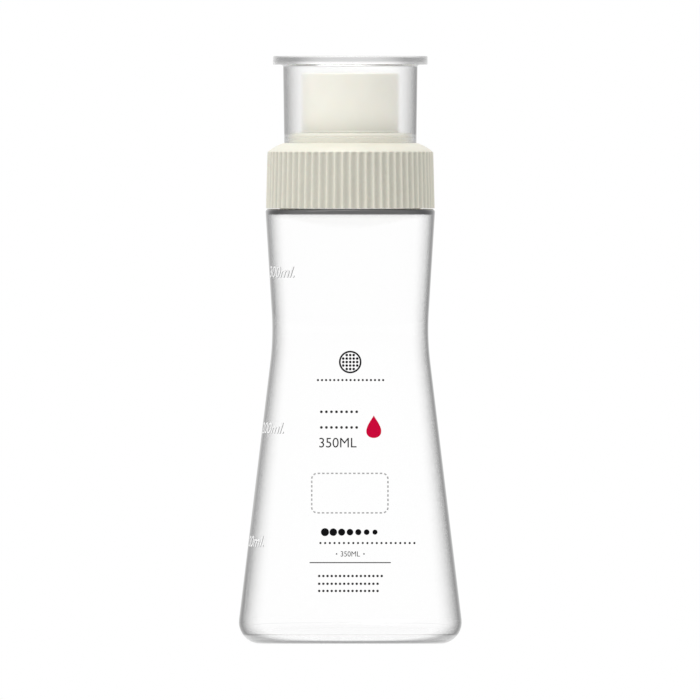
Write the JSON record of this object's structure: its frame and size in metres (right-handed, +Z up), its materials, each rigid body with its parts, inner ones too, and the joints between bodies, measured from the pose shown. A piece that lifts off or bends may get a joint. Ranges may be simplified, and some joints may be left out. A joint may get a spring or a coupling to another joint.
{
  "type": "spice shaker bottle",
  "caption": "Waisted clear bottle with a ribbed screw collar, a sieve spout for powders and a clear lift-off cap with a flanged top.",
  "frame": {"origin": "middle of the bottle's standing ring, on the surface it stands on", "axes": "+Z up along the bottle's axis; the printed front faces -Y"},
  "size_m": [0.0716, 0.0716, 0.189],
  "materials": {
    "clear_bottle": "clear gloss",
    "clear_cap": "clear gloss",
    "cream_plastic": "satin",
    "soft_seal": "matte",
    "mesh_steel": "bright wire"
  },
  "bodies": {
    "bottle": {"bottle_body": "clear_bottle"},
    "head": {"sieve_spout": "cream_plastic", "neck_gasket": "soft_seal", "sieve_mesh": "mesh_steel", "mesh_ring": "cream_plastic"},
    "collar": {"screw_collar": "cream_plastic"},
    "cap": {"dust_cap": "clear_cap"}
  },
  "joints": [
    {"name": "head_lift", "type": "slide", "parent": "bottle", "child": "head", "axis": [0, 0, 1], "range_m": [0, 0.004]},
    {"name": "collar_turn", "type": "hinge", "parent": "head", "child": "collar", "pos_m": [0, 0, 0.149], "axis": [0, 0, 1], "range_deg": [0, 360]},
    {"name": "cap_lift", "type": "slide", "parent": "collar", "child": "cap", "axis": [0, 0, 1], "range_m": [0, 0.03]}
  ],
  "couplings": [
    {"joint": "head_lift", "follows": "collar_turn", "m_per_rad": 0.0006366}
  ]
}
